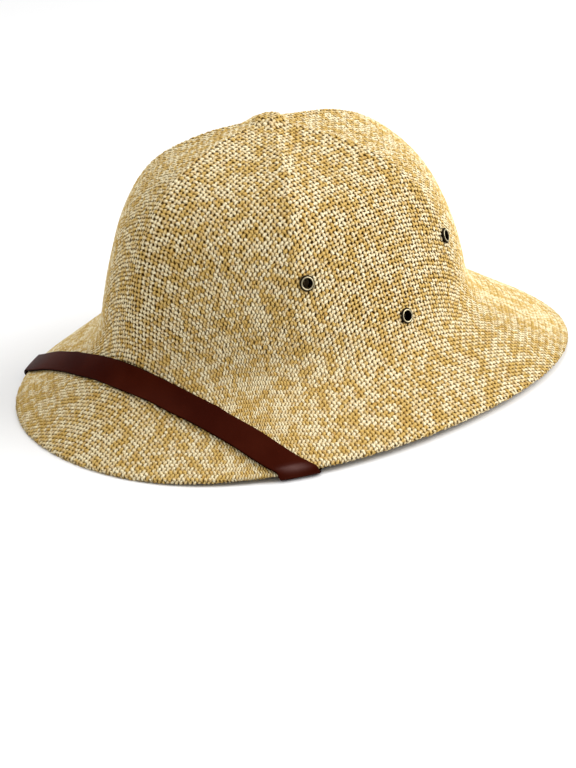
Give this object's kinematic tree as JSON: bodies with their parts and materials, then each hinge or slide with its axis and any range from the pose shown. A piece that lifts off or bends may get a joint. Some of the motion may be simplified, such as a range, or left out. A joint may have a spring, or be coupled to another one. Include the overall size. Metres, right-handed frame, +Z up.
{
  "type": "pith helmet",
  "caption": "Pith helmet of moulded woven straw with a sloping brim, a ribbed crown, side vent eyelets and a leather chin strap laid over the front of the brim.",
  "frame": {"origin": "the middle of the hat's length and width, on the plane that the rim rests on", "axes": "+Z up through the crown, +Y to the rear of the hat, +X to the wearer's left"},
  "size_m": [0.2744, 0.3312, 0.1522],
  "materials": {
    "straw": "plain-woven twisted paper straw in cream and tan",
    "leather": "smooth dark red-brown leather with a soft sheen",
    "brass": "aged brass, darkened in the bore"
  },
  "bodies": {
    "root": {"shell": "straw", "chin_strap": "leather", "eyelet_left_front": "brass", "eyelet_left_low": "brass", "eyelet_left_rear": "brass", "eyelet_right_front": "brass", "eyelet_right_low": "brass", "eyelet_right_rear": "brass"}
  },
  "joints": []
}
